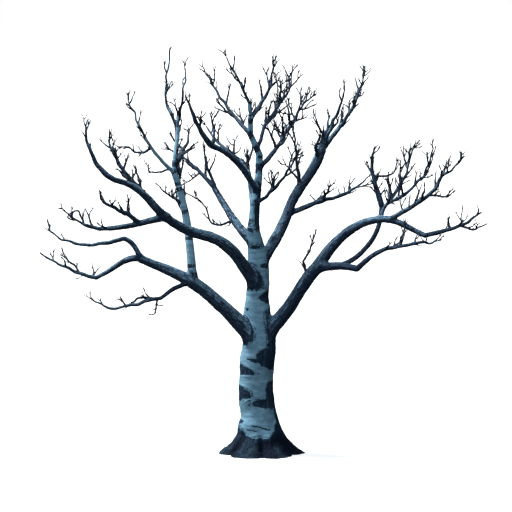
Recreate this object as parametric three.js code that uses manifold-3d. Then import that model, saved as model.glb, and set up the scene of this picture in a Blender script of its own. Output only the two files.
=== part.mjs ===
// A bare birch in winter, rooted in level ground: one pale trunk on a flared foot, and the boughs and
// branches that leave it, each limb a solid of its own.
// Millimetres, +Z up, origin on the flat cut under the trunk.
import * as THREE from "three";
import { mergeVertices } from "three/addons/utils/BufferGeometryUtils.js";
import Module from "manifold-3d";

const wasm = await Module();
wasm.setup();

// ---- driving dimensions ----
const TRUNK_HEIGHT = 7510; // from the ground to the fork of the leader
const FLARE_SPREAD = 515; // how far the root flare stands out from the trunk, at the ground
const FLARE_HEIGHT = 300; // height over which the flare falls to a third
const ROOT_COUNT = 6; // main roots that ridge the foot
const ROOT_RELIEF = 0.2; // share of the flare that comes and goes between the roots
const COLLAR_SWELL = 0.35; // how much a limb is thicker where it leaves what carries it
const COLLAR_REACH = 2.4; // length of that swelling, in radii of the limb
const SHOOT_END = 8; // radius where a limb runs out
const JOINT_GAP = 0.3; // left between a limb and what carries it
const BEND_REACH = 0.36; // how far a limb keeps its first and last heading, as a share of its span

// ---- how finely the solids are faceted ----
const TRUNK_SIDES = 18;
const TRUNK_RINGS = 26;
const TRUNK_CROWDING = 1.6; // above 1, rings lie closer together near the ground
const STOUT = 70; // limbs at least this thick in radius get the rounder section
const STOUT_SIDES = 8;
const SLENDER_SIDES = 6;
const RING_SPACING = 260; // along a limb
const [FEWEST_RINGS, MOST_RINGS] = [5, 9];
const LIMB_CROWDING = 1.2; // above 1, rings lie closer together at the collar
const STEEP = 0.8; // a limb that climbs more than this is squared up to the back, not to the sky

// ---- the trunk: [height, sideways, towards the back, radius] ----
const TRUNK = [
  [0, 62, 0, 380],
  [500, 45, 0, 378],
  [1000, -15, 0, 365],
  [1800, -45, -10, 350],
  [2550, 20, 0, 362],
  [3300, -35, 20, 270],
  [4050, 0, 20, 240],
  [4450, -25, 0, 210],
  [4850, -110, -20, 148],
  [5600, -60, -30, 108],
  [6200, 10, 0, 86],
  [6700, 0, 20, 80],
  [7110, -200, 10, 66],
  [TRUNK_HEIGHT, -170, 0, 46],
];

// ---- the limbs ----
// name, what carries it, where on it as a share of its length, far end [x, y, z],
// how it sets off and how it ends [bearing, rise] in degrees, radius at its foot and at its end.
// A bearing of 0 is right (+X), 90 is back (+Y), 180 is left and 270 is front.
const LIMBS = [
  ["low_left_bough", "trunk", 0.325, [-1480, -450, 3855], [207, 43], [190, 34], 172, 130],
  ["low_left_arm", "low_left_bough", 1, [-2600, -650, 4380], [190, 30], [190, 24], 130, 75],
  ["low_left_dip", "low_left_arm", 1, [-3510, -800, 3950], [189, 6], [189, -24], 62, 32],
  ["low_left_dip_tip", "low_left_dip", 1, [-4760, -600, 4470], [187, 18], [178, 35], 32, SHOOT_END],
  ["low_left_knee", "low_left_arm", 0.95, [-2920, -850, 4830], [210, 58], [200, 15], 62, 50],
  ["low_left_long_arm", "low_left_knee", 1, [-4500, -1100, 5010], [192, -16], [185, 42], 50, SHOOT_END],
  ["low_left_hanging", "low_left_bough", 0.96, [-2140, -850, 3510], [205, 0], [212, -38], 42, 28],
  ["low_left_hanging_tip", "low_left_hanging", 1, [-3530, -1250, 3480], [195, -5], [195, 35], 28, SHOOT_END],

  ["rising_stem", "low_left_bough", 0.98, [-1850, -300, 6240], [120, 85], [190, 70], 92, 62],
  ["stem_left_fork", "rising_stem", 1, [-2790, -1000, 7810], [215, 36], [215, 66], 42, SHOOT_END],
  ["stem_right_fork", "rising_stem", 1, [-1770, 0, 7320], [60, 82], [120, 85], 52, 36],
  ["stem_top_left", "stem_right_fork", 1, [-1950, 250, 8970], [165, 38], [60, 84], 32, SHOOT_END],
  ["stem_top_right", "stem_right_fork", 1, [-1590, -350, 8530], [300, 70], [290, 86], 30, SHOOT_END],
  ["stem_back_branch", "stem_right_fork", 0.12, [-1540, 500, 7030], [60, 45], [50, 75], 40, SHOOT_END],

  ["mid_left_bough", "trunk", 0.485, [-1060, -1000, 4880], [234, 45], [213, 18], 146, 124],
  ["mid_left_arm", "mid_left_bough", 1, [-2200, -1900, 5580], [215, 12], [218, 42], 124, 88],
  ["mid_left_rise", "mid_left_arm", 1, [-3030, -2400, 6190], [211, 50], [211, 12], 88, 56],
  ["mid_left_tip", "mid_left_rise", 1, [-3640, -2700, 7360], [206, 25], [206, 84], 56, SHOOT_END],
  ["mid_left_top_branch", "mid_left_rise", 0.05, [-3190, -1700, 7040], [160, 48], [170, 80], 48, SHOOT_END],
  ["mid_left_branch", "mid_left_arm", 0.78, [-3310, -2400, 5160], [198, -10], [200, 2], 66, 34],
  ["mid_left_branch_tip", "mid_left_branch", 1, [-4060, -2700, 5530], [202, 8], [202, 48], 32, SHOOT_END],
  ["mid_left_spur", "mid_left_branch", 0.45, [-3320, -2900, 5840], [235, 50], [225, 40], 32, SHOOT_END],

  ["upper_left_bough", "trunk", 0.616, [-990, 800, 5830], [140, 32], [142, 52], 118, 60],
  ["upper_left_tip", "upper_left_bough", 1, [-1670, 1300, 6480], [143, 42], [143, 34], 55, 16],
  ["upper_left_fork", "upper_left_bough", 0.97, [-1190, 700, 6650], [170, 72], [230, 84], 25, SHOOT_END],
  ["upper_mid_bough", "trunk", 0.768, [-1030, -1100, 6860], [234, 54], [222, 18], 88, 62],
  ["upper_mid_tip", "upper_mid_bough", 1, [-1460, -1700, 7820], [230, 40], [235, 66], 58, SHOOT_END],
  ["upper_mid_spur", "upper_mid_bough", 0.97, [-970, -900, 7460], [290, 75], [45, 82], 25, SHOOT_END],

  ["leader_left_branch", "trunk", 0.937, [-1170, 900, 8390], [140, 38], [138, 52], 42, SHOOT_END],
  ["leader_left_fork", "trunk", 1, [-710, -500, 8740], [223, 72], [223, 54], 36, SHOOT_END],
  ["leader_right_fork", "trunk", 0.985, [320, 500, 8500], [50, 32], [60, 84], 40, SHOOT_END],
  ["crown_right_branch", "trunk", 0.843, [1130, 1500, 7800], [52, 24], [54, 32], 46, SHOOT_END],
  ["crown_mid_branch", "trunk", 0.895, [720, 800, 8390], [48, 80], [60, 80], 34, SHOOT_END],
  ["crown_low_branch", "trunk", 0.736, [830, -700, 6600], [320, 24], [320, 52], 30, SHOOT_END],

  ["right_upper_bough", "trunk", 0.560, [720, 500, 5490], [34, 42], [36, 72], 132, 98],
  ["right_upper_arm", "right_upper_bough", 1, [1440, 1000, 6690], [36, 60], [36, 70], 98, 84],
  ["right_upper_tip", "right_upper_arm", 1, [2340, 1500, 8290], [30, 45], [28, 78], 64, SHOOT_END],
  ["right_upper_fork", "right_upper_arm", 0.97, [1890, 700, 7980], [0, 70], [330, 75], 40, SHOOT_END],
  ["right_inner_branch", "right_upper_arm", 0.25, [730, 300, 7170], [200, 84], [215, 68], 34, SHOOT_END],
  ["right_side_branch", "right_upper_bough", 0.78, [2410, 1300, 6010], [26, 37], [26, 46], 54, SHOOT_END],

  ["right_bough", "trunk", 0.358, [1310, -400, 4190], [345, 20], [340, 44], 160, 144],
  ["right_upper_arc", "right_bough", 1, [2650, -850, 5250], [342, 58], [342, 6], 126, 70],
  ["right_drop", "right_upper_arc", 1, [3590, -1100, 4910], [345, 2], [345, -22], 68, 42],
  ["right_tip", "right_drop", 1, [4800, -1300, 5410], [350, 14], [350, 38], 42, SHOOT_END],
  ["right_low_arm", "right_bough", 0.93, [2150, -1000, 4175], [330, 20], [325, -10], 88, 54],
  ["right_low_tip", "right_low_arm", 1, [3840, -1800, 4830], [332, 50], [335, 6], 46, SHOOT_END],
  ["right_inner_riser", "right_low_arm", 0.52, [2700, -350, 5470], [10, 12], [60, 84], 44, 36],
  ["riser_left", "right_inner_riser", 1, [2450, -200, 6610], [150, 72], [80, 84], 36, SHOOT_END],
  ["riser_right", "right_upper_arc", 0.96, [3360, -600, 6790], [16, 58], [16, 84], 40, SHOOT_END],
  ["riser_right_fork", "riser_right", 0.26, [3740, -1100, 6800], [335, 16], [330, 84], 30, SHOOT_END],
  ["right_outer_riser", "right_drop", 0.18, [3950, -1500, 6220], [330, 32], [330, 64], 42, 24],
  ["right_outer_tip", "right_outer_riser", 1, [4280, -1800, 6600], [318, 40], [318, 80], 22, SHOOT_END],

  ["back_right_bough", "trunk", 0.546, [710, 1500, 5440], [66, 40], [65, 50], 110, 80],
  ["back_right_arm", "back_right_bough", 1, [1220, 2400, 6240], [60, 40], [60, 42], 80, 52],
  ["back_right_tip", "back_right_arm", 1, [1640, 2900, 7370], [57, 50], [57, 75], 50, SHOOT_END],
  ["back_left_bough", "trunk", 0.68, [-240, 1300, 6240], [90, 35], [102, 50], 72, 50],
  ["back_left_tip", "back_left_bough", 1, [-1220, 2300, 7160], [130, 32], [130, 50], 48, SHOOT_END],
  ["back_low_bough", "trunk", 0.333, [-1410, 1500, 3630], [133, 32], [133, 26], 130, 86],
  ["back_low_arm", "back_low_bough", 1, [-1930, 2700, 7260], [107, 50], [116, 80], 80, SHOOT_END],
];

const PALE_LIMBS = ["trunk", "rising_stem", "stem_left_fork", "stem_right_fork"];

const PALE_BARK = new THREE.MeshStandardMaterial({ color: 0x7fa3b8, roughness: 0.7, metalness: 0 });
const DARK_BARK = new THREE.MeshStandardMaterial({ color: 0x1d2b3d, roughness: 0.8, metalness: 0 });

const lerp = THREE.MathUtils.lerp;

// A unit vector from a bearing in plan and a rise above the level.
function heading([bearing, rise]) {
  const turned = THREE.MathUtils.degToRad(bearing);
  const raised = THREE.MathUtils.degToRad(rise);
  const level = Math.cos(raised);
  return new THREE.Vector3(Math.cos(turned) * level, Math.sin(turned) * level, Math.sin(raised));
}

// A closed rod with `sides` faces round it, each point laid where place(share along, across, over) says.
function shapedRod(sides, rings, place) {
  const rod = new THREE.CylinderGeometry(1, 1, 1, sides, rings);
  rod.deleteAttribute("normal");
  rod.deleteAttribute("uv");
  const merged = mergeVertices(rod);
  const points = merged.getAttribute("position");
  for (let i = 0; i < points.count; i++) {
    const laid = place(points.getY(i) + 0.5, points.getX(i), points.getZ(i));
    points.setXYZ(i, laid.x, laid.y, laid.z);
  }
  return merged;
}

// The trunk rises in level rings, so its foot is one flat face.
// The flare and its roots fade out with height.
function makeTrunk() {
  const heights = TRUNK.map((row) => row[0]);
  const course = new THREE.CubicInterpolant(heights, TRUNK.flatMap((row) => row.slice(1)), 3);
  const at = (share) => {
    const height = share * TRUNK_HEIGHT;
    const [x, y, radius] = course.evaluate(height);
    return { centre: new THREE.Vector3(x, y, height), radius };
  };
  const solid = (grown) =>
    shapedRod(TRUNK_SIDES, TRUNK_RINGS, (share, across, over) => {
      const ringShare = share ** TRUNK_CROWDING;
      const { centre, radius } = at(ringShare);
      const around = Math.atan2(-over, across);
      const roots = 1 + ROOT_RELIEF * Math.cos(ROOT_COUNT * around) * (over || across ? 1 : 0);
      const flare = FLARE_SPREAD * Math.exp(-centre.z / FLARE_HEIGHT) * roots;
      const reach = radius + flare + grown;
      const lift = share === 1 ? grown : 0;
      return centre.clone().add(new THREE.Vector3(across * reach, -over * reach, lift));
    });
  return { at, solid, tangent: () => new THREE.Vector3(0, 0, 1), length: TRUNK_HEIGHT };
}

// A limb follows one cubic curve from inside what carries it to its far end, and tapers along it.
function makeLimb(carrier, share, end, setsOff, ends, thick, thin) {
  const foot = carrier.at(share);
  const start = foot.centre;
  const finish = new THREE.Vector3(...end);
  const handle = start.distanceTo(finish) * BEND_REACH;
  const curve = new THREE.CubicBezierCurve3(
    start,
    start.clone().addScaledVector(heading(setsOff), handle),
    finish.clone().addScaledVector(heading(ends), -handle),
    finish,
  );
  const length = curve.getLength();
  const buried = share < 1 ? foot.radius : 0;
  const swell = share < 1 ? COLLAR_SWELL : 0;
  const radiusAt = (t) => {
    const clear = Math.max(0, t * length - buried) / (COLLAR_REACH * thick);
    return lerp(thick, thin, t) * (1 + swell * Math.max(0, 1 - clear) ** 2);
  };
  const at = (t) => ({ centre: curve.getPointAt(t), radius: radiusAt(t) });
  const chord = finish.clone().sub(start).normalize();
  const reference = chord.z < STEEP ? new THREE.Vector3(0, 0, 1) : new THREE.Vector3(0, 1, 0);
  const sides = thick >= STOUT ? STOUT_SIDES : SLENDER_SIDES;
  const rings = THREE.MathUtils.clamp(Math.round(length / RING_SPACING), FEWEST_RINGS, MOST_RINGS);
  const solid = (grown) =>
    shapedRod(sides, rings, (t, across, over) => {
      const ringShare = t ** LIMB_CROWDING;
      const { centre, radius } = at(ringShare);
      const along = curve.getTangentAt(ringShare);
      const side = new THREE.Vector3().crossVectors(along, reference).normalize();
      const up = new THREE.Vector3().crossVectors(side, along);
      const overrun = t === 1 ? grown : t === 0 ? -grown : 0;
      const reach = radius + grown;
      return centre.addScaledVector(side, across * reach).addScaledVector(up, over * reach)
        .addScaledVector(along, overrun);
    });
  return { at, solid, length };
}

function asManifold(geometry) {
  return new wasm.Manifold(new wasm.Mesh({
    numProp: 3,
    vertProperties: new Float32Array(geometry.getAttribute("position").array),
    triVerts: new Uint32Array(geometry.index.array),
  }));
}

function asGeometry(manifold) {
  const { vertProperties, triVerts } = manifold.getMesh();
  return new THREE.BufferGeometry()
    .setAttribute("position", new THREE.BufferAttribute(vertProperties, 3))
    .setIndex(new THREE.BufferAttribute(triVerts, 1));
}

function boxesMeet(a, b) {
  const [p, q] = [a.boundingBox(), b.boundingBox()];
  return [0, 1, 2].every((i) => p.min[i] <= q.max[i] && q.min[i] <= p.max[i]);
}

// What is left of a limb's solid once every earlier limb that it meets is cut out,
// less the crumbs behind the joint.
function cutClear(solid, earlier) {
  let left = solid;
  for (const grown of earlier) if (boxesMeet(left, grown)) left = left.subtract(grown);
  return left.decompose().reduce((a, b) => (a.volume() > b.volume() ? a : b));
}

const tree = new THREE.Group();
tree.name = "birch";
const made = { trunk: makeTrunk() };
for (const [name, carrier, ...sizes] of LIMBS) made[name] = makeLimb(made[carrier], ...sizes);

const cutters = [];
for (const [name, limb] of Object.entries(made)) {
  const solid = cutClear(asManifold(limb.solid(0)), cutters);
  cutters.push(asManifold(limb.solid(JOINT_GAP)));
  const bark = PALE_LIMBS.includes(name) ? PALE_BARK : DARK_BARK;
  const mesh = new THREE.Mesh(asGeometry(solid), bark);
  mesh.name = name;
  tree.add(mesh);
}

export default tree;
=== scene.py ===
# %% [markdown]
# # A bare birch in winter
# The tree's limbs come as plain solids: a trunk on a flared foot, and tapering rods for the boughs and
# branches. This lesson grows the looks on them: one skin of bark that flows from the trunk into the
# boughs, slim branches, twigs, and the pale and dark finishes of birch bark.
# The solids stay where they are, so each step first reads from them where a limb runs and how thick it is.

# %% Load the solids
import math

import bmesh
import bpy
import numpy as np
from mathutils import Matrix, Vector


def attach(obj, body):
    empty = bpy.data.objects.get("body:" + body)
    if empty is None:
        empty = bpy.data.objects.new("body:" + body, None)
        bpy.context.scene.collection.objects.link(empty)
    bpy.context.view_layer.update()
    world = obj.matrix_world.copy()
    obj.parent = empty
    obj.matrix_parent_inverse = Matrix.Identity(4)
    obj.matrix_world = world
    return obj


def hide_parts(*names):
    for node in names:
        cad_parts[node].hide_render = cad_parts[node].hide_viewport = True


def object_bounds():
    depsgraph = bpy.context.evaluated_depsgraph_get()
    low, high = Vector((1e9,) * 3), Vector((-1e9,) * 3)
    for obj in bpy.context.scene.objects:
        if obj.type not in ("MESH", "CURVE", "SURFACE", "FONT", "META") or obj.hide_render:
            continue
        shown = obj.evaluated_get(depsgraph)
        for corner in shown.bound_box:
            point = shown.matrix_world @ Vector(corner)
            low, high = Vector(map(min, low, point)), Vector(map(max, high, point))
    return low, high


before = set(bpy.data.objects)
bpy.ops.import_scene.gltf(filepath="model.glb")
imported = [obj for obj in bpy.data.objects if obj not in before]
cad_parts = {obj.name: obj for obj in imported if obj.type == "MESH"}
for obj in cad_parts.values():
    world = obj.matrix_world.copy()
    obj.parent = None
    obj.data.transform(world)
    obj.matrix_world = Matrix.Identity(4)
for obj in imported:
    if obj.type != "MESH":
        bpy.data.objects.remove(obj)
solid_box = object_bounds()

import openvdb
from mathutils import Vector
from mathutils.bvhtree import BVHTree

print(len(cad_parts), "solids,", [round(x, 2) for x in solid_box[1] - solid_box[0]], "m across")

# %% [markdown]
# ## The camera, the floor and the light
# A tree is looked at from far off, so the camera stands well back on a long lens and limbs near and far
# keep their true proportions. It looks slightly down, so that the foot shows as a ring on the ground.

# %% Place the camera
EYE_TARGET = Vector((-0.055, 0, 4.37))
EYE_DISTANCE = 60
EYE_RISE = math.radians(5)
VIEW_WIDTH = 11.264  # metres across the view, at the tree
FAR_SIGHT = 400 * EYE_DISTANCE  # past the edge of the floor

camera = bpy.data.objects.new("camera", bpy.data.cameras.new("camera"))
bpy.context.collection.objects.link(camera)
bpy.context.scene.camera = camera
back = Vector((0, -math.cos(EYE_RISE), math.sin(EYE_RISE)))
camera.location = EYE_TARGET + EYE_DISTANCE * back
camera.rotation_euler = (-back).to_track_quat("-Z", "Y").to_euler()
camera.data.lens = camera.data.sensor_width * EYE_DISTANCE / VIEW_WIDTH
camera.data.clip_end = FAR_SIGHT
print("lens", round(camera.data.lens), "mm")

# %% [markdown]
# A studio for a tree is a white floor that runs on past the edge of sight. A soft sun, high on the left,
# models the trunk's roundness. Two broad, weak suns fill the front and the tops of the boughs, and a dim
# even sky keeps the shaded side readable. Area lamps would do as well, but a sun lights the whole height
# of a tree evenly. The sky looks white to the camera alone, so that it doesn't wash out the bark.

# %% Lay the floor and light the studio
FLOOR_REACH = 6000  # metres from the tree to the floor's edge
FLOOR_GLOW = 0.6
SKY_GLOW = 0.16
WARM_LIGHT = (1, 0.99, 0.97)
COOL_LIGHT = (0.85, 0.93, 1)


def make_floor():
    mesh = bpy.data.meshes.new("floor")
    ends = (-FLOOR_REACH, FLOOR_REACH)
    corners = [(ends[0], ends[0], 0), (ends[1], ends[0], 0), (ends[1], ends[1], 0), (ends[0], ends[1], 0)]
    mesh.from_pydata(corners, [], [(0, 1, 2, 3)])
    floor = bpy.data.objects.new("floor", mesh)
    bpy.context.collection.objects.link(floor)
    paint = bpy.data.materials.new("floor white")
    paint.use_nodes = True
    shader = paint.node_tree.nodes["Principled BSDF"]
    shader.inputs["Base Color"].default_value = (0.5, 0.5, 0.5, 1)
    shader.inputs["Roughness"].default_value = 1
    shader.inputs["Specular IOR Level"].default_value = 0
    shader.inputs["Emission Color"].default_value = (1, 1, 1, 1)
    shader.inputs["Emission Strength"].default_value = FLOOR_GLOW
    mesh.materials.append(paint)
    floor.visible_diffuse = False
    floor.visible_glossy = False


def make_sun(name, strength, softness, bearing, rise, colour):
    """A sun that shines from a bearing in plan (0 right, 90 back) and a rise above the level, in degrees."""
    sun = bpy.data.objects.new(name, bpy.data.lights.new(name, "SUN"))
    bpy.context.collection.objects.link(sun)
    sun.data.energy = strength
    sun.data.angle = math.radians(softness)
    sun.data.color = colour
    turn, lift = math.radians(bearing), math.radians(rise)
    towards = Vector((math.cos(turn) * math.cos(lift), math.sin(turn) * math.cos(lift), math.sin(lift)))
    sun.rotation_euler = towards.to_track_quat("Z", "Y").to_euler()


make_floor()
make_sun("key sun", 7.0, 10, 162, 54, WARM_LIGHT)
make_sun("front fill", 1.1, 70, 240, 28, COOL_LIGHT)
make_sun("top fill", 1.7, 50, 260, 76, COOL_LIGHT)
sky = bpy.data.worlds.new("studio sky")
bpy.context.scene.world = sky
sky.use_nodes = True
nodes, links = sky.node_tree.nodes, sky.node_tree.links
light = nodes["Background"]
light.inputs["Color"].default_value = (0.9, 0.95, 1, 1)
light.inputs["Strength"].default_value = SKY_GLOW
seen = nodes.new("ShaderNodeBackground")
seen.inputs["Color"].default_value = (1, 1, 1, 1)
choice = nodes.new("ShaderNodeMixShader")
links.new(nodes.new("ShaderNodeLightPath").outputs["Is Camera Ray"], choice.inputs[0])
links.new(light.outputs[0], choice.inputs[1])
links.new(seen.outputs[0], choice.inputs[2])
links.new(choice.outputs[0], nodes["World Output"].inputs["Surface"])
bpy.context.scene.view_settings.view_transform = "Standard"
print("lights:", [light.name for light in bpy.data.lights])

# %% [markdown]
# ## Where the limbs run
# Each limb's solid is a rod with a many-sided section, closed by a flat cap at its tip. From the middle of
# that cap one can walk back over the mesh: the corners one edge away are the last ring, the corners two
# edges away the ring before, and so on. The middle of each ring is a point on the limb's centre line, and
# its mean reach is the limb's radius. The walk stops where a ring is no longer whole, because there the
# limb was cut to fit against the one that carries it.
# Reading the line back from the solids keeps this file free of a second copy of the tree's sizes.

# %% Walk a limb's solid from its tip
WELD = 1e-4
EVEN = 1.04  # a whole ring's longest reach over its shortest
FLAT = 0.9995  # the least cosine between the faces of a flat cap
FEWEST_SPOKES = 6


def opened(node):
    work = bmesh.new()
    work.from_mesh(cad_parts[node].data)
    bmesh.ops.remove_doubles(work, verts=work.verts, dist=WELD)
    return work


def reaches(corners):
    places = np.array([v.co for v in corners])
    middle = places.mean(0)
    return middle, np.linalg.norm(places - middle, axis=1)


def is_cap_middle(corner):
    normals = [face.normal for face in corner.link_faces]
    spokes = [edge.calc_length() for edge in corner.link_edges]
    flat = min(n.dot(normals[0]) for n in normals) > FLAT
    return flat and len(spokes) >= FEWEST_SPOKES and max(spokes) < EVEN * min(spokes)


def walk_rings(node):
    """Whole rings from the tip back, as (middle, radius, corners), and the corners left over at the foot."""
    work = opened(node)
    best, left = [], []
    for tip in [v for v in work.verts if is_cap_middle(v)]:
        seen, edge, rings = {tip}, {tip}, []
        while True:
            ring = {e.other_vert(v) for v in edge for e in v.link_edges} - seen
            if not ring or (rings and len(ring) != len(rings[0][2])):
                break
            middle, reach = reaches(ring)
            if node != "trunk" and reach.max() > EVEN * reach.min():
                break
            rings.append((middle, reach.mean(), np.array([v.co for v in ring])))
            seen |= ring
            edge = ring
        if len(rings) > len(best):
            best = rings
            left = np.array([v.co for v in work.verts if v not in seen]).reshape(-1, 3)
    work.free()
    return best, left


walked = {node: walk_rings(node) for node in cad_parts}
whole = [len(rings) for rings, left in walked.values()]
print("whole rings on a limb:", min(whole), "to", max(whole))

# %% [markdown]
# The first stretch of a limb, where it was cut to fit, is missing from its rings. It is put back by looking
# along the limb backwards: the line is extended until it comes nearest to the centre line of the limb that
# carries it. A limb touches its carrier where it was cut, which says which solid that is.

# %% Find what carries each limb
TOUCHING = 0.001
LONGEST_SEAT = 1.2
SEAT_STEP = 0.02
SEAT_COST = 0.1  # what a metre of seat counts as, against a metre of gap
GIRTH_PULL = 0.5  # how much a stout carrier is preferred


def tree_of(node):
    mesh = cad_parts[node].data
    corners = [v.co for v in mesh.vertices]
    return BVHTree.FromPolygons(corners, [tuple(face.vertices) for face in mesh.polygons])


def finer(line, step):
    """A line of (x, y, z, radius) rows, resampled along a smooth curve at about one step."""
    ends = np.vstack([2 * line[0] - line[1], line, 2 * line[-1] - line[-2]])
    rows = []
    for a, b, c, d in zip(ends, ends[1:], ends[2:], ends[3:]):
        count = max(1, round(float(np.linalg.norm((c - b)[:3])) / step))
        for t in np.arange(count) / count:
            bend = 2 * b + (c - a) * t + (2 * a - 5 * b + 4 * c - d) * t**2 + (3 * b - a - 3 * c + d) * t**3
            rows.append(bend / 2)
    return np.array(rows + [line[-1]])


def ring_line(node):
    return np.array([[*middle, radius] for middle, radius, ring in reversed(walked[node][0])])


rough = {node: ring_line(node) for node in walked}
trees = {node: tree_of(node) for node in walked}


def meeting(node, other):
    """Where the limb, extended backwards, comes nearest to another limb's line: distance and row."""
    start = rough[node][0, :3]
    back = start - rough[node][1, :3]
    back /= np.linalg.norm(back)
    rows = finer(rough[other], SEAT_STEP)
    along = np.clip((rows[:, :3] - start) @ back, 0, LONGEST_SEAT)
    gap = np.linalg.norm(start + along[:, None] * back - rows[:, :3], axis=1) + SEAT_COST * along
    best = int(gap.argmin())
    return gap[best] - SEAT_COST * along[best], rows[best]


def find_carrier(node):
    corners = [Vector(corner) for corner in walked[node][1]]
    touched = {
        other
        for other in trees
        if other != node and any(trees[other].find_nearest(c, TOUCHING)[0] for c in corners)
    }
    meetings = {other: meeting(node, other) for other in touched}
    carrier = min(touched, key=lambda other: meetings[other][0] - GIRTH_PULL * rough[other][:, 3].max())
    return carrier, meetings[carrier][1], meetings[carrier][0]


carried = {node: find_carrier(node) for node in rough if node != "trunk"}
farthest = max(gap for carrier, seat, gap in carried.values())
print("farthest miss between a limb and its carrier's line:", round(farthest, 3), "m")

# %% [markdown]
# Nothing on a tree is even, so the lesson needs noise: a smooth random value for each point in space, the
# same on every run. It's built from a hash of the corners of a grid, blended between them. The hash mixes
# a corner's three numbers with large odd ones, until neighbours have nothing in common.

# %% Make noise in numbers
def smooth_step(low, high, x):
    t = np.clip((x - low) / (high - low), 0, 1)
    return t * t * (3 - 2 * t)


def lattice(cells, seed):
    """A steady random number from -1 to 1 for each whole-numbered cell."""
    n = cells[:, 0] * 374761393 + cells[:, 1] * 668265263 + cells[:, 2] * 2147483647 + seed * 974634777
    n = (n ^ (n >> 13)) * 1274126177 & 0x7FFFFFFF
    n = (n ^ (n >> 15)) * 2246822519 & 0x7FFFFFFF
    return (n ^ (n >> 12)) / 0x3FFFFFFF - 1


def noise(points, seed):
    """Smooth noise from -1 to 1 whose features are about one unit across."""
    cells = np.floor(points).astype(np.int64)
    share = points - cells
    share = share * share * (3 - 2 * share)
    total = np.zeros(len(points))
    for corner in np.ndindex(2, 2, 2):
        weight = np.prod(np.where(corner, share, 1 - share), axis=1)
        total += weight * lattice(cells + np.array(corner), seed)
    return total


def rough_noise(points, seed, layers=3):
    return sum(noise(points * 2**n, seed + n) / 2**n for n in range(layers)) / 1.5


print("noise spread", round(float(noise(np.random.default_rng(1).normal(size=(999, 3)) * 20, 1).std()), 3))

# %% [markdown]
# Bark has a direction: it runs along the limb. So each point of a centre line needs the length gone up to
# it, and two side directions that turn with the line as little as they can, so that bark drawn on them
# never twists. Slim wood zigzags a little from bud to bud, and its bark and buds make it look stouter
# than the bare rod.

# %% Measure along a line
CROOK = 0.026  # how far slim wood strays to the side
CROOK_EASE = 0.25  # metres over which a limb begins to stray
ZIGZAG = 0.17  # metres from one bend to the next
SLIM_FROM, SLIM_AT = 0.07, 0.02  # wood turns slim between these radii
SLIM_BARK = 0.008  # what bark and buds add to the radius of slim wood


def side_directions(line):
    """Two unit directions across each point of a line, carried along it without twist."""
    ahead = np.gradient(line[:, :3], axis=0)
    ahead /= np.linalg.norm(ahead, axis=1)[:, None]
    side = np.cross(ahead[0], (0, 1, 0) if abs(ahead[0, 1]) < 0.9 else (1, 0, 0))
    first = []
    for way in ahead:
        side = side - way * (side @ way)
        side /= np.linalg.norm(side)
        first.append(side)
    first = np.array(first)
    return first, np.cross(ahead, first)


def lengths_gone(line):
    return np.concatenate([[0], np.cumsum(np.linalg.norm(np.diff(line[:, :3], axis=0), axis=1))])


def wandering(gone, seed):
    """Smooth noise along a line, in three directions."""
    spots = np.column_stack([gone, 0 * gone, 0 * gone])
    return np.stack([noise(spots, seed + shift) for shift in (0, 40, 80)], 1)


def crooked(line, seed):
    slim, gone = smooth_step(SLIM_FROM, SLIM_AT, line[:, 3]), lengths_gone(line)
    stray = CROOK * slim * smooth_step(0, CROOK_EASE, gone)
    shift = wandering(gone / ZIGZAG, seed) * stray[:, None]
    return np.column_stack([line[:, :3] + shift, line[:, 3] + SLIM_BARK * slim])


print("the trunk's line is", round(lengths_gone(rough["trunk"])[-1], 2), "m long")

# %% [markdown]
# A limb often carries on where the limb before it ends, and is the same piece of wood to the eye. Such
# limbs are joined to one run, which is what the bark follows. A rod is an even taper, and a grown limb
# isn't: where bark, burrs and old bends make one look stouter than its rod, its radius is raised by a
# factor, which turns smoothly to the next limb's.

# %% Join the limbs to runs
LINE_STEP = 0.06
SAME_WOOD = 0.68  # the next limb's radius over the tip it grows from
TIP_REACH = 0.8  # how near that tip it starts, in tip radii
FOOT_SPREAD = 1.12  # a limb's foot over its first whole ring, at most
BLEND = 0.25  # metres over which one limb's thickness or tone turns to the next one's
CROOK_SEED = 100
THICKER = {
    0.86: ("upper_mid_bough", "stem_top_left", "stem_top_right", "leader_left_fork"),
    1.1: (
        "low_left_bough", "low_left_arm", "right_upper_arc", "rising_stem", "leader_left_branch",
        "riser_right_fork",
    ),
    1.18: ("mid_left_tip", "right_drop", "right_upper_arm", "right_upper_fork", "crown_mid_branch"),
    1.28: (
        "low_left_dip", "low_left_dip_tip", "mid_left_branch", "right_low_arm", "right_inner_riser",
        "right_outer_riser", "right_side_branch", "crown_right_branch", "leader_right_fork",
        "upper_left_fork", "upper_mid_tip", "back_right_tip",
    ),
    1.38: (
        "low_left_hanging", "low_left_hanging_tip", "right_tip", "right_low_tip", "mid_left_top_branch",
        "crown_low_branch", "stem_back_branch",
    ),
    1.75: ("mid_left_spur",),
    2.2: ("riser_left",),
}  # how much stouter a limb looks in its bark than its bare rod


def value_by_limb(table):
    """A table of limbs by value, turned round to values by limb."""
    return {limb: value for value, limbs in table.items() for limb in limbs}


def blended_along(members, line, values, plain):
    """Each limb's value, or the plain one, at each row of a run's line, blended where limbs meet."""
    ends = np.cumsum([len(lines[limb]) - 1 for limb in members])
    steps = np.array([values.get(limb, plain) for limb in members])
    steps = steps[np.clip(np.searchsorted(ends, np.arange(len(line)), "right"), 0, len(members) - 1)]
    reach = round(BLEND / LINE_STEP)
    shares = np.ones(2 * reach + 1) / (2 * reach + 1)
    return np.convolve(np.pad(steps, reach, mode="edge"), shares, mode="valid")


def limb_line(node):
    line = rough[node]
    if node in carried:
        start = carried[node][1].copy()
        start[3] = min(start[3], FOOT_SPREAD * line[0, 3])
        line = np.vstack([start, line])
    return finer(line, LINE_STEP)


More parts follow.
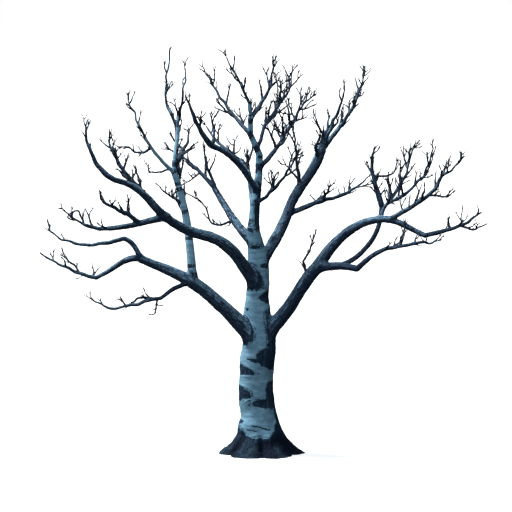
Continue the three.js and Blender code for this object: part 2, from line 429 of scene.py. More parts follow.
def carries_on(node):
    tip = rough[carried[node][0]][-1]
    near = np.linalg.norm(carried[node][1][:3] - tip[:3]) < TIP_REACH * tip[3]
    return near and rough[node][0, 3] > SAME_WOOD * tip[3]


lines = {node: limb_line(node) for node in rough}
stoutness = value_by_limb(THICKER)
next_limb = {}
for node in sorted(carried, key=lambda name: rough[name][0, 3]):
    if carries_on(node):
        next_limb[carried[node][0]] = node
run_starts = [node for node in lines if node not in next_limb.values()]
runs = []
for node in run_starts:
    members, line = [node], lines[node]
    while members[-1] in next_limb:
        members.append(next_limb[members[-1]])
        line = np.vstack([line[:-1], lines[members[-1]]])
    line[:, 3] *= blended_along(members, line, stoutness, 1.0)
    line = crooked(line, CROOK_SEED + len(runs))
    runs.append({"limbs": members, "line": line, "sides": side_directions(line), "gone": lengths_gone(line)})
print(len(runs), "runs,", round(sum(run["gone"][-1] for run in runs), 1), "m in all")

# %% [markdown]
# ## One skin for the stout wood
# On a living tree the bark of a bough flows out of the bark of the trunk in a soft collar. Rods pushed
# into each other would show a hard crease there. A better way is a distance field: for any point in space,
# how far it is from each run's surface. Two distances are blended where they are nearly equal, and the
# surface is drawn where the blend is zero, which fills each fork with a fillet. The field is sampled on a
# grid of small cubes, only in blocks near the wood, and a level-set library turns it to a mesh.
# The trunk's own distance comes from its rings, as its foot spreads into root flares and isn't round.

# %% Measure the distance to the trunk
TRUNK_TURN = 72  # steps round the trunk at which its reach is noted

trunk_rings = walked["trunk"][0][::-1]
ring_height = np.array([middle[2] for middle, radius, ring in trunk_rings])
ring_x = np.array([middle[0] for middle, radius, ring in trunk_rings])
ring_y = np.array([middle[1] for middle, radius, ring in trunk_rings])
turn_steps = np.arange(TRUNK_TURN) * 2 * np.pi / TRUNK_TURN


def ring_reach(middle, ring):
    turn = np.arctan2(ring[:, 1] - middle[1], ring[:, 0] - middle[0])
    reach = np.linalg.norm(ring - middle, axis=1)
    order = np.argsort(turn)
    return np.interp(turn_steps, turn[order], reach[order], period=2 * np.pi)


trunk_reach = np.array([ring_reach(middle, ring) for middle, radius, ring in trunk_rings])
trunk_slope = np.gradient(trunk_reach.mean(1), ring_height)


def between(table, row, turn):
    """A value of a table of rings by turns, at a fractional row and a turn in radians."""
    low = np.clip(np.floor(row).astype(int), 0, len(table) - 2)
    part = row - low
    column = (turn / (2 * np.pi) * TRUNK_TURN) % TRUNK_TURN
    left = np.floor(column).astype(int) % TRUNK_TURN
    right = (left + 1) % TRUNK_TURN
    share = column - np.floor(column)
    below = table[low, left] * (1 - share) + table[low, right] * share
    above = table[low + 1, left] * (1 - share) + table[low + 1, right] * share
    return below * (1 - part) + above * part


def trunk_distance(points):
    """Distance to the trunk, and the trunk's radius there."""
    height = np.clip(points[:, 2], ring_height[0], ring_height[-1])
    across = points[:, 0] - np.interp(height, ring_height, ring_x)
    along = points[:, 1] - np.interp(height, ring_height, ring_y)
    row = np.interp(height, ring_height, np.arange(len(ring_height)))
    reach = between(trunk_reach, row, np.arctan2(along, across))
    lean = np.interp(height, ring_height, trunk_slope)
    side = (np.hypot(across, along) - reach) / np.sqrt(1 + lean**2)
    over = points[:, 2] - ring_height[-1]
    return np.where(over > 0, np.hypot(np.maximum(side, 0), over), side), reach


print("the trunk's foot reaches", round(float(trunk_reach[0].max()), 2), "m out from its middle")

# %% [markdown]
# A bough's centre line is taken as a chain of short tapering rods. The distance to one rod is easy: slide
# to the nearest point on its axis, then take off the radius there. The last rod of the stout wood runs to
# half its radius, so that it closes inside the slim wood that carries on.

# %% Measure the distance to a bough
STOUT = 0.036  # wood thinner than this is made as single tubes later
CLOSING = 0.5


def rod_distance(points, starts, ends, start_radii, end_radii):
    """Distance to the nearest of some tapering rods, that rod's number, the share along it and its radius."""
    along = ends - starts
    to_point = points[:, None] - starts
    share = np.clip((to_point * along).sum(2) / (along * along).sum(1), 0, 1)
    radius = start_radii + share * (end_radii - start_radii)
    gap = np.linalg.norm(to_point - share[..., None] * along, axis=2) - radius
    best = gap.argmin(1)
    pick = np.arange(len(points))
    return gap[pick, best], best, share[pick, best], radius[pick, best]


def blended(a, b, width):
    """The lesser of two distances, with a fillet where they are within a width of each other."""
    close = np.maximum(width - np.abs(a - b), 0) / width
    return np.minimum(a, b) - close**2 * width / 4


rods = {"start": [], "end": [], "r0": [], "r1": [], "run": [], "row": []}
for number, run in enumerate(runs):
    line = run["line"]
    stout = line[:, 3] >= STOUT
    last = int(np.nonzero(stout)[0].max()) if stout.any() and run["limbs"][0] != "trunk" else -1
    run["stout_rows"] = last
    for row in range(last):
        rods["start"].append(line[row, :3])
        rods["end"].append(line[row + 1, :3])
        rods["r0"].append(line[row, 3])
        rods["r1"].append(line[row + 1, 3] * (CLOSING if row == last - 1 else 1))
        rods["run"].append(number)
        rods["row"].append(row)
rods = {name: np.array(column) for name, column in rods.items()}
trunk_run, stem_run = (
    next(number for number, run in enumerate(runs) if run["limbs"][0] == name)
    for name in ("trunk", "rising_stem")
)
print(len(rods["run"]), "rods in the stout wood")

# %% [markdown]
# Only blocks that wood passes through or near are sampled. For each, the rods within reach are picked
# first, so that a point is never measured against the whole tree.

# %% Sample the blocks near wood
VOXEL = 0.016  # metres between samples of the field
BLOCK = 16  # samples along a block's side
BAND = 4 * VOXEL  # how far from the surface the field is kept
FILLET = 0.7  # the fillet's width over the thinner limb's radius
block_side = BLOCK * VOXEL
reach_out = block_side * math.sqrt(3) / 2 + BAND


def blocks_near():
    """The numbers of all blocks that a rod or the trunk may touch."""
    found = set()
    lows = np.minimum(rods["start"], rods["end"]) - rods["r0"][:, None] - BAND
    highs = np.maximum(rods["start"], rods["end"]) + rods["r0"][:, None] + BAND
    wide = trunk_reach.max(1) + BAND
    middles = np.stack([ring_x, ring_y, ring_height], 1)
    for low, high, a, b in zip(middles, middles[1:], wide, wide[1:]):
        pad = np.array([max(a, b), max(a, b), BAND])
        lows = np.vstack([lows, np.minimum(low, high) - pad])
        highs = np.vstack([highs, np.maximum(low, high) + pad])
    for low, high in zip(lows, highs):
        first = np.floor(low / block_side).astype(int)
        past = np.floor(high / block_side).astype(int) + 1
        found.update(
            (i, j, k)
            for i in range(first[0], past[0])
            for j in range(first[1], past[1])
            for k in range(max(first[2], -1), past[2])
        )
    return sorted(found)


def rods_near(block):
    """The rods near a block, as a list of run number and rod numbers."""
    middle = (np.array(block) + 0.5) * block_side
    along = rods["end"] - rods["start"]
    share = np.clip(((middle - rods["start"]) * along).sum(1) / (along * along).sum(1), 0, 1)
    reach = np.linalg.norm(middle - rods["start"] - share[:, None] * along, axis=1)
    near = np.nonzero(reach < rods["r0"] * (1 + FILLET) + reach_out)[0]
    return [(run, near[rods["run"][near] == run]) for run in np.unique(rods["run"][near])]


def wood_distances(points, near):
    """For each run near a block: its number, distances, rods, shares along them and radii."""
    gap, reach = trunk_distance(points)
    measured = [(trunk_run, gap, None, None, reach)]
    for run, picked in near:
        columns = [rods[name][picked] for name in ("start", "end", "r0", "r1")]
        gap, best, share, radius = rod_distance(points, *columns)
        measured.append((run, gap, picked[best], share, radius))
    return measured


def union(measured):
    total, thick = measured[0][1], measured[0][4]
    for run, gap, rod, share, radius in measured[1:]:
        width = FILLET * np.minimum(thick, radius)
        nearer = gap < total
        total, thick = blended(total, gap, width), np.where(nearer, radius, thick)
    return total


offsets = np.stack(np.meshgrid(*[np.arange(BLOCK)] * 3, indexing="ij"), -1).reshape(-1, 3)
grid = openvdb.FloatGrid(BAND)
grid.gridClass = openvdb.GridClass.LEVEL_SET
block_rods = {}
for block in blocks_near():
    near = rods_near(block)
    corner = np.array(block) * BLOCK
    field = union(wood_distances((corner + offsets) * VOXEL, near))
    if field.min() < BAND:
        block_rods[block] = near
        cube = np.clip(field, -BAND, BAND).astype(np.float32).reshape(BLOCK, BLOCK, BLOCK)
        grid.copyFromArray(cube, ijk=tuple(int(n) for n in corner))
skin_points, skin_quads = grid.convertToQuads(0.0)
skin_points = skin_points.astype(float) * VOXEL
skin_quads = skin_quads[:, ::-1].astype(int)
print(len(block_rods), "blocks,", len(skin_points), "points,", len(skin_quads), "quads")

# %% [markdown]
# The trunk stands on the ground, so the skin is cut level at height zero. Points just under the cut are
# slid up along the skin's edges to the cut itself, and what lies deeper is dropped. The outline that is
# left is closed with a flat face.

# %% Cut the skin level with the ground
def read_off(items, name, width=1, kind=float):
    """One value, or a few, of every item of a mesh, as an array."""
    column = np.empty(len(items) * width, kind)
    items.foreach_get(name, column)
    return column if width == 1 else column.reshape(-1, width)


def level_foot(points, quads):
    """The points and faces above the ground: the skin is bisected at zero and its foot is closed."""
    above = points[:, 2] > -2 * VOXEL
    quads = quads[above[quads].all(1)]
    used = np.unique(quads)
    renumber = np.full(len(points), -1)
    renumber[used] = np.arange(len(used))
    mesh = bpy.data.meshes.new("skin")
    mesh.from_pydata(points[used].tolist(), [], renumber[quads].tolist())
    work = bmesh.new()
    work.from_mesh(mesh)
    everything = work.verts[:] + work.edges[:] + work.faces[:]
    cut = bmesh.ops.bisect_plane(
        work, geom=everything, dist=1e-5, plane_co=(0, 0, 0), plane_no=(0, 0, 1), clear_inner=True
    )
    rim = [edge for edge in cut["geom_cut"] if isinstance(edge, bmesh.types.BMEdge)]
    bmesh.ops.contextual_create(work, geom=rim)
    work.to_mesh(mesh)
    work.free()
    return mesh


skin = level_foot(skin_points, skin_quads)
count = len(skin.vertices)
skin_points = read_off(skin.vertices, "co", 3)
skin_normals = read_off(skin.vertex_normals, "vector", 3)
print(count, "points and", len(skin.polygons), "faces above the ground")

# %% [markdown]
# ## What the bark does at each point
# Birch bark is two barks. Most of the trunk is smooth and pale, with dark scars where twigs once grew. The
# boughs, the foot and the places where boughs leave the trunk are dark and furrowed. So each point of the
# skin is given an amount of ink: 0 is clean pale bark, 1 is dark bark, and the edge between them is at a
# half. It is kept as a smooth amount, not as yes or no, because the paint can then fray the edge finely.
# The dark bark of a bough runs out on to its neighbour in a collar, which fades with distance.
# Dark bark also has paler crests, grey partly as bark turns with age and partly as painted highlight. A
# second number says how pale they are painted on each limb: 1 where nothing is said, more on boughs whose
# upper sides get little light, less on hanging wood and on boughs that the lamps already light well.

# %% Choose how dark each limb's own bark is
INKED = {
    0.0: ("trunk", "rising_stem"),
    0.3: ("stem_right_fork",),
    0.42: ("stem_left_fork",),
    0.5: ("low_left_knee",),
    0.55: ("leader_left_fork",),
    0.75: ("stem_top_left", "stem_top_right"),
    0.8: ("right_upper_bough",),
    0.9: ("upper_left_bough",),
}
# How grey each limb's crests are painted: partly the bark's own grey, partly painted highlight where light
# falls short.
WEATHERED_AND_LIT = {
    2.2: ("mid_left_bough", "upper_mid_bough", "upper_mid_tip"),
    1.6: ("low_left_bough", "mid_left_arm", "mid_left_rise", "mid_left_tip"),
    1.3: ("low_left_arm", "low_left_knee"),
    0.75: ("right_bough", "right_upper_arc"),
    0.5: ("right_upper_bough", "right_side_branch", "low_left_dip_tip", "stem_back_branch"),
    0.35: ("right_tip", "right_low_tip", "leader_right_fork", "leader_left_branch"),
    0.25: (
        "right_low_arm", "right_upper_arm", "upper_left_tip", "right_inner_riser", "riser_left",
        "crown_right_branch", "crown_mid_branch", "crown_low_branch",
    ),
    0.1: ("low_left_hanging",),
}
for run in runs:
    for value, table in {"tone": INKED, "grey": WEATHERED_AND_LIT}.items():
        run[value] = blended_along(run["limbs"], run["line"], value_by_limb(table), 1.0)
print("runs with pale wood:", sum(run["tone"].min() < 0.9 for run in runs))

# %% [markdown]
# The marks on the trunk are listed one by one, as a maker would chalk them on: height up the trunk, bearing
# round it (0 right, 90 back, 180 left, 270 front), half width along the bark, half height, how much the
# mark points to one side, and how it slopes. A real scar is an eye or an arch, wider than it is tall.
# Long ones are sheets of dark bark that hang below a bough; those down the right front, at 322 to 352
# degrees, are partly painted shade too, as that side of the trunk turns from the light. Round the back they
# are drawn at random.

# %% List the marks on the pale bark
TRUNK_MARKS = [
    (1.87, 214, 0.38, 0.125, 0.6, -0.14),
    (2.10, 258, 0.17, 0.035, -0.4, -0.15),
    (2.14, 316, 0.33, 0.25, -0.3, -0.1),
    # a long mark down the right front: dark bark and painted shade
    (2.68, 336, 0.25, 0.52, 0, 0),
    (1.35, 206, 0.33, 0.18, 0.4, 0),
    (1.13, 302, 0.42, 0.11, -0.1, -0.05),
    # two more down the right front: dark bark and painted shade
    (1.36, 334, 0.20, 0.26, 0, 0),
    (0.84, 352, 0.13, 0.36, 0, 0),
    (0.72, 200, 0.2, 0.055, 0.6, 0),
    (0.62, 274, 0.24, 0.02, 0, -0.2),
    (0.55, 248, 0.17, 0.013, 0, -0.1),
    (3.47, 314, 0.20, 0.12, -0.7, 0.1),
    (3.19, 219, 0.055, 0.035, 0.2, 0),
    (4.16, 309, 0.12, 0.06, -0.6, 0),
    (4.57, 262, 0.13, 0.045, 0, 0.05),
    (4.95, 236, 0.10, 0.045, 0, -0.1),
    # a long mark down the right front: dark bark and painted shade
    (5.30, 322, 0.12, 0.42, 0, 0),
    (5.78, 300, 0.09, 0.05, 0, -0.5),
    (6.25, 205, 0.06, 0.04, 0, 0),
    (6.55, 285, 0.07, 0.035, 0, 0),
]
BACK_MARKS = 16
BACK_FROM, BACK_SPAN = 0.75, 6.1  # metres up the trunk
mark_rng = np.random.default_rng(7)
for mark in range(BACK_MARKS):
    height = BACK_FROM + BACK_SPAN * (mark + mark_rng.uniform(0, 0.8)) / BACK_MARKS
    girth = float(np.interp(height, ring_height, trunk_reach.mean(1)))
    bearing = mark_rng.uniform(15, 165)
    wide, tall = girth * mark_rng.uniform(0.25, 0.8), girth * mark_rng.uniform(0.12, 0.35)
    point, slope = mark_rng.uniform(-0.6, 0.6), mark_rng.uniform(-0.2, 0.2)
    TRUNK_MARKS.append((height, bearing, wide, tall, point, slope))


def mark_field(height, turn, girth, mark):
    """How deep inside one mark each point lies: a half on its edge, 1 at its heart."""
    level, bearing, wide, tall, point, slope = mark
    off = (np.degrees(turn) - bearing + 180) % 360 - 180
    u = np.radians(off) * girth / wide
    v = (height - level - slope * u * wide) / (tall * np.clip(1 - point * u, 0.25, 1.6))
    return 1 - 0.5 * np.hypot(np.abs(u) ** 1.3, np.abs(v) ** 1.3)


print(len(TRUNK_MARKS), "marks on the trunk")

# %% [markdown]
# Every point of the skin now asks each run near it how far it is and where along it. The nearest run lends
# its own directions for the grain, and all the runs near have a say in how dark the bark is: their ink
# fades over a collar, which is wider on a stout bough.

# %% Ask the runs near each point
WIDEST_GRAIN = 0.42  # past this radius, at the foot, the grain fans out down the roots
COLLAR = 0.05  # metres
COLLAR_SHARE = 0.25  # what a bough's radius adds to its collar
STOUTEST = 0.16  # past this radius a collar widens no more


def at_rows(table, rows, shares):
    """Values of a table at fractional rows."""
    shares = shares.reshape(shares.shape + (1,) * (table.ndim - 1))
    return table[rows] * (1 - shares) + table[rows + 1] * shares


def place_on(run, points, rods_hit, shares):
    """Grain coordinates on a run, two across it and one along it, and its tone and crest grey, partly painted
    highlight, there.
    """
    if rods_hit is None:
        line = run["line"]
        row = np.clip(np.interp(points[:, 2], line[:, 2], np.arange(len(line))), 0, len(line) - 1.001)
        rows = row.astype(int)
        shares = row - rows
    else:
        rows = rods["row"][rods_hit]
    middle = at_rows(run["line"], rows, shares)[:, :3]
    first, second = (at_rows(side, rows, shares) for side in run["sides"])
    out = points - middle
    grain = np.stack([(out * first).sum(1), (out * second).sum(1), at_rows(run["gone"], rows, shares)], 1)
    reach = np.hypot(grain[:, 0], grain[:, 1])
    grain[:, :2] *= (np.minimum(reach, WIDEST_GRAIN) / np.maximum(reach, 1e-6))[:, None]
    return grain, at_rows(run["tone"], rows, shares), at_rows(run["grey"], rows, shares)


skin_grain = np.zeros((count, 3))
skin_radius, skin_grey, skin_ink = np.zeros(count), np.zeros(count), np.zeros(count)
skin_run = np.zeros(count, int)
block_of = np.floor(skin_points / block_side - 1e-9).astype(int)
order = np.lexsort(block_of.T)
breaks = np.nonzero(np.any(np.diff(block_of[order], axis=0), axis=1))[0] + 1
for group in np.split(order, breaks):
    block = tuple(int(n) for n in block_of[group[0]])
    points = skin_points[group]
    measured = wood_distances(points, block_rods.get(block) or rods_near(block))
    gaps = np.array([gap for run, gap, *rest in measured])
    own = gaps.argmin(0)
    places = [place_on(runs[run], points, rod, share) for run, gap, rod, share, radius in measured]
    ink = np.zeros(len(group))
    for index, (run, gap, rod, share, radius) in enumerate(measured):
        mine = own == index
        skin_grain[group[mine]] = places[index][0][mine]
        skin_radius[group[mine]] = radius[mine]
        skin_grey[group[mine]] = places[index][2][mine]
        skin_run[group[mine]] = run
        fade = 1 - 0.5 * np.maximum(gap, 0) / (COLLAR + COLLAR_SHARE * np.minimum(radius, STOUTEST))
        ink = np.maximum(ink, places[index][1] * np.clip(fade, 0, 1))
    skin_ink[group] = ink
print("points per run:", np.bincount(skin_run).max(), "at most")

# %% [markdown]
# The ink of the marks, of the dark foot and of the rings round the rising stem is laid over the limbs' own.
# Whichever is darkest at a point wins. A little noise is added to each first, as a scar's edge is torn.

# %% Lay the marks, the foot and the stem's rings over the bark
MARK_STRAY = 0.035  # metres that a mark's edge strays up or down
MARK_TEAR = 0.06  # how much its edge is torn
MARK_EDGE = 1.5  # how sharply a mark ends
FOOT_HEIGHT = 0.48
FOOT_CLIMB = (0.2, 0.14)  # how much higher dark bark climbs on the right and on the left
FOOT_STRAY = 0.15
FOOT_FADE = 0.26
STEM_RINGS = (0.14, 0.37, 0.98, 1.56, 2.07, 2.2, 2.48)  # metres up the rising stem
STEM_RING_SIZE = (0.14, 0.045)  # half its width and half its height

on_trunk = skin_run == trunk_run
height = skin_points[:, 2]
turn = np.arctan2(
    skin_points[:, 1] - np.interp(height, ring_height, ring_y),
    skin_points[:, 0] - np.interp(height, ring_height, ring_x),
)
stray = rough_noise(skin_points * (9, 9, 14), 3)
for mark in TRUNK_MARKS:
    field = mark_field(height + MARK_STRAY * stray, turn, skin_radius, mark) + MARK_TEAR * stray
    field = 0.5 + MARK_EDGE * (field - 0.5)
    skin_ink = np.where(on_trunk, np.maximum(skin_ink, np.clip(field, 0, 1)), skin_ink)

# On the right the dark foot climbs higher partly as painted shade, as that side turns from the light.
foot_edge = FOOT_HEIGHT + FOOT_CLIMB[0] * smooth_step(0.3, 1, np.cos(turn))
foot_edge = foot_edge + FOOT_CLIMB[1] * smooth_step(0.3, 1, -np.cos(turn))
foot_edge += FOOT_STRAY * rough_noise(skin_points * (4.5, 4.5, 3.5), 5, 3)
foot = np.clip(0.5 + (foot_edge - height) / FOOT_FADE, 0, 1)
skin_ink = np.maximum(skin_ink, foot)

on_stem = skin_run == stem_run
way = np.arctan2(skin_normals[:, 1], skin_normals[:, 0])
for level in STEM_RINGS:
    bearing = 250 + 30 * math.sin(9 * level)
    ring = (level, bearing, *STEM_RING_SIZE, 0, 0)
    field = mark_field(skin_grain[:, 2] + 0.02 * stray, way, skin_radius, ring)
    skin_ink = np.where(on_stem, np.maximum(skin_ink, np.clip(1.6 * field - 0.3, 0, 1)), skin_ink)
print("share of dark skin:", round(float((skin_ink > 0.5).mean()), 2))

# %% [markdown]
# Colour alone leaves bark looking printed on, so the skin itself is moved. Dark bark is cracked along the
# limb into plates with furrows between them. Pale bark only ripples, and a scar sits a little below it
# inside a swollen rim. The foot is the oldest bark: its plates are the thickest, and they ride on lumps
# that run down into the roots. Burrs swell the trunk here and there. Each point moves along its normal by
# a height in metres.

# %% Cut furrows between plates
PLATE = np.array([0.045, 0.045, 0.24])  # across, across and along the limb
CRACK_EDGE = 0.32  # how far up a plate its crack's slope reaches


def furrows(grain, seed):
    """Plates and the cracks between them: 1 on a plate's crest, 0 in a crack."""
    bent = grain + 0.02 * np.stack([noise(grain / 0.09, seed + k) for k in range(3)], 1)
    crack = np.minimum(np.abs(noise(bent / PLATE, seed)), np.abs(noise(bent / PLATE * 1.9, seed + 9)) * 1.4)
    return smooth_step(0.0, CRACK_EDGE, crack)


print("share of plates in dark bark:", round(float(furrows(skin_grain[::50], 21).mean()), 2))

# %% Raise the relief
FURROW = 0.010  # depth on a bough
FOOT_FURROW = 0.022  # depth at the foot
ROOTS = 6
LUMP = 0.03
VALLEY = 0.07  # depth between two roots
RIPPLE = 0.003
RIM = 0.006  # how proud a scar's rim stands, and how deep its middle lies
SWELL = 0.06  # share of the radius by which a limb swells and shrinks
BURRS = [
    (1.72, 190, 0.35, 0.46, 0.04),
    (2.12, 352, 0.25, 0.24, 0.035),
    (1.3, 195, 0.3, 0.25, 0.02),
    (0.62, 192, 0.4, 0.12, 0.05),
]  # height, bearing, half width, half height, and how proud it stands


def bark_heights(points, grain, radius, ink, ground, turn):
    """Height of the bark over the plain wood, and how much each point is a crest."""
    dark = smooth_step(0.42, 0.6, ink)
    crest = furrows(grain, 21)
    depth = np.minimum(FURROW, 0.1 * radius)
    old = smooth_step(0.7, 0.1, ground)
    deep = (crest - 0.6) * (depth * (1 - old) + FOOT_FURROW * old)
    valley = 1 - np.abs(np.cos(ROOTS / 2 * turn + 0.35 * noise(points / 0.3, 33)))
    lumps = LUMP * old * rough_noise(points / (0.2, 0.2, 0.5), 31, 2) - VALLEY * old * valley**3
    ripple = RIPPLE * rough_noise(grain / (0.12, 0.12, 0.05), 41, 2) * smooth_step(0.03, 0.1, radius)
    rim = RIM * np.exp(-(((ink - 0.36) / 0.1) ** 2)) - RIM * dark
    swell = SWELL * radius * noise(points / 0.35, 51)
    for level, bearing, half_width, half_height, proud in BURRS:
        field = mark_field(points[:, 2], turn, radius, (level, bearing, half_width, half_height, 0, 0))
        swell = swell + proud * smooth_step(0, 0.9, field)
    wide = smooth_step(0.05, 0.15, radius)
    return dark * deep + lumps + ripple + rim * wide * (1 - old) + swell, dark * crest


ground = np.maximum(skin_points[:, 2], 0)
rise, skin_crest = bark_heights(skin_points, skin_grain, skin_radius, skin_ink, ground, turn)
shift = skin_normals * rise[:, None]
shift[:, 2] *= smooth_step(0.0, 0.08, skin_points[:, 2])
flat_foot = (skin_points[:, 2] < 1e-4) & (skin_normals[:, 2] < -0.9)
shift[flat_foot] = 0
skin_places = skin_points + shift
skin_places[:, 2] = np.maximum(skin_places[:, 2], 0)
print("relief from", round(float(rise.min()) * 1000), "to", round(float(rise.max()) * 1000), "mm")

# %% [markdown]
# A bough's upper side is painted as lit: flakes of pale bark lie on it and its crests turn grey, partly as
# bark does and partly as painted highlight. Its underside stays dark, as painted shade. How far a point faces
# up and towards the painted light's way decides how pale it is.

# %% Paint light and shade on the upper sides
PAINTED_LIGHT_WAY = np.array([-0.15, -0.35, 0.92])  # towards the sky, with a lean to the front left
FLAKE = 0.35  # how much ink a flake of pale bark takes off
SHADED_CREST = 0.1  # how much of a crest's grey is left in the shade
# Sides that face the painted light's way take pale flakes and grey crests as painted highlight; sides turned
# away keep dark bark, as painted shade.
facing = skin_normals @ PAINTED_LIGHT_WAY
flakes = rough_noise(skin_grain / (0.09, 0.09, 0.2), 61)
strokes = rough_noise(skin_grain / (0.05, 0.05, 0.4), 65)
part_pale = smooth_step(0.97, 0.6, skin_ink) * smooth_step(0.5, 0.62, skin_ink)
skin_ink = skin_ink - part_pale * FLAKE * smooth_step(0.1, 0.8, facing + 0.5 * flakes)
painted_lit_side = SHADED_CREST + (1 - SHADED_CREST) * smooth_step(0.05, 0.65, facing + 0.4 * strokes)
skin_crest = np.minimum(skin_crest * skin_grey * painted_lit_side, 1)
# On the trunk the crests' grey is painted stronger on the shaded right side and weaker on the lit left, as
# painted light.
skin_crest = np.where(on_trunk, (0.3 + 0.4 * smooth_step(0, 1, np.cos(turn))) * skin_crest, skin_crest)
print("weathered share:", round(float((part_pale > 0.5).mean()), 2))

# %% [markdown]
# The foot is another matter. Its dark bark is painted almost black near the ground, as painted shade, and
# only the backs of the roots turn grey. The painted shade is told to the paint as ink above 1.

# %% Paint shade and light on the foot
ROOT_CREST = 0.15  # how grey the back of a root turns
patches = rough_noise(skin_points / (0.17, 0.17, 0.3), 63)
ridge = np.abs(np.cos(ROOTS / 2 * turn - 0.3))
# Facing left, towards the key sun, adds painted highlight to the roots' own grey.
root_crest = ROOT_CREST * smooth_step(0.55, 1.25, ridge + 0.7 * patches - 0.35 * skin_normals[:, 0])
low_down = smooth_step(0.9, 0.5, skin_points[:, 2]) * on_trunk
skin_crest = skin_crest * (1 - low_down) + root_crest * low_down
# Painted shade: the dark foot turns near black towards the ground.
ground_shade = smooth_step(0.62, 0.3, skin_points[:, 2] + 0.1 * patches) * smooth_step(0.8, 1, skin_ink) * on_trunk
skin_ink = skin_ink + ground_shade
print("damp share of the trunk:", round(float((ground_shade[on_trunk] > 0.5).mean()), 2))

# %% [markdown]
# ## Slim wood
# Where a limb is slimmer than a finger and thumb can span, blending it into its neighbours isn't worth
# a field. It is swept instead: a ring of points is carried along the centre line, each ring turned by the
# run's side directions. A slim limb isn't a smooth rod either. It swells at the knots where twigs left it
# and wavers between them.

# %% Gather wood
class Wood:
    """Points, faces and bark values of a piece, gathered part by part."""

    def __init__(self):
        self.points, self.faces, self.count = [], [], 0
        self.values = {"ink": [], "crest": [], "grain": []}

    def add(self, points, faces, **values):
        self.points.append(points)
        self.faces.extend(faces)
        self.count += len(points)
        for name, column in values.items():
            self.values[name].append(column)


print("a piece of wood carries", list(Wood().values))

# %% Sweep a tube
THINNEST_GRAIN = 0.004  # so that the grain of a twig isn't a single point
END_CAP = 0.3  # how far the tip's point stands out, in steps


def swept(line, sides, first, second, rough_by):
    """Ring points round a line: (rings, sides, 3), and their bearings round the line."""
    turns = np.arange(sides) * 2 * np.pi / sides
    out = np.cos(turns)[None, :, None] * first[:, None] + np.sin(turns)[None, :, None] * second[:, None]
    radius = line[:, 3][:, None, None] * (1 + rough_by[..., None])
    return line[:, :3][:, None] + out * radius, out


def tube_faces(rings, sides, start):
    """Quads between rings, and a fan at each end to a middle point."""
    faces = []
    for ring in range(rings - 1):
        low = start + ring * sides
        for side in range(sides):
            beside = (side + 1) % sides
            faces.append((low + side, low + beside, low + sides + beside, low + sides + side))
    foot, tip, last = start + rings * sides, start + rings * sides + 1, start + (rings - 1) * sides
    for side in range(sides):
        beside = (side + 1) % sides
        faces.append((start + beside, start + side, foot))
        faces.append((last + side, last + beside, tip))
    return faces


def add_tube(wood, line, sides, tones, greys, gone, roughness, seed):
    """Sweeps one tube with knots and bark values into a piece of wood."""
    first, second = side_directions(line)
    turns = np.arange(sides) * 2 * np.pi / sides
    near_turn = np.stack([np.cos(turns), np.sin(turns)], 1)
    rings = len(line)
    spots = np.empty((rings, sides, 3))
    spots[..., :2] = near_turn * np.maximum(line[:, 3], THINNEST_GRAIN)[:, None, None]
    spots[..., 2] = gone[:, None]
    flat = spots.reshape(-1, 3)
    wobble = roughness * rough_noise(flat / (0.03, 0.03, 0.07) + seed, 71, 2).reshape(rings, sides)
    places, out = swept(line, sides, first, second, wobble)
    ends = np.vstack([line[0, :3], line[-1, :3] + (line[-1, :3] - line[-2, :3]) * END_CAP])
    points = np.vstack([places.reshape(-1, 3), ends])
    facing = np.append((out.reshape(-1, 3) @ PAINTED_LIGHT_WAY), [0, 0])
    tone = np.append(np.repeat(tones, sides), [tones[0], tones[-1]])
    grain = np.vstack([flat, [0, 0, gone[0]], [0, 0, gone[-1]]])
    fleck = rough_noise(grain / (0.03, 0.03, 0.09) + seed, 81, 2)
    part = smooth_step(0.98, 0.7, tone)
    # Paler bark and greyer crests on the side that faces the painted light's way: painted highlight over the
    # bark's own flecks.
    ink = np.clip(tone + part * (0.5 * fleck - 0.3 * facing), 0, 1)
    crest = smooth_step(0.0, 0.5, furrows(grain * (2, 2, 1), 23)) * (0.1 + 0.5 * smooth_step(0, 0.8, facing))
    crest = np.minimum(crest * np.append(np.repeat(greys, sides), [0, 0]), 1)
    wood.add(points, tube_faces(rings, sides, wood.count), ink=ink, crest=crest, grain=grain)


print("a ten-sided tube of 30 rings has", len(tube_faces(30, 10, 0)), "faces")

# %% [markdown]
# A tree of one mesh would be hard to handle, and a mesh for every branch would be dozens. The wood is shared
# out instead by great limb: each piece takes the runs that start on it, and stands for all their solids.

# %% Choose the pieces and what each one stands for
PIECES = {
    "trunk_bark": ("trunk",),
    "low_left_bark": ("low_left_bough", "low_left_hanging", "low_left_knee"),
    "rising_stem_bark": ("rising_stem", "stem_back_branch", "stem_left_fork", "stem_top_left"),
    "mid_left_bark": ("mid_left_bough", "mid_left_branch", "mid_left_spur", "mid_left_top_branch"),
    "upper_left_bark": ("upper_left_bough", "upper_left_fork", "upper_mid_bough", "upper_mid_spur"),
    "crown_bark": (
        "crown_low_branch", "crown_mid_branch", "crown_right_branch", "leader_left_branch",
        "leader_right_fork",
    ),
    "right_upper_bark": ("right_upper_bough", "right_upper_fork", "right_inner_branch", "right_side_branch"),
    "right_bark": (
        "right_bough", "right_low_arm", "right_inner_riser", "right_outer_riser", "riser_right",
        "riser_right_fork",
    ),
    "back_bark": ("back_left_bough", "back_right_bough", "back_low_bough"),
}
piece_of_run = np.array([
    next(index for index, firsts in enumerate(PIECES.values()) if run["limbs"][0] in firsts) for run in runs
])
piece_limbs = [
    [limb for run, piece in zip(runs, piece_of_run) if piece == index for limb in run["limbs"]]
    for index in range(len(PIECES))
]
print("limbs in the pieces:", [len(limbs) for limbs in piece_limbs])

# %% [markdown]
# A slim end starts two steps inside the stout wood, drawn in a little there, so that the skin hides its
# foot. A branch that is slim from its very start swells where it leaves its limb instead.

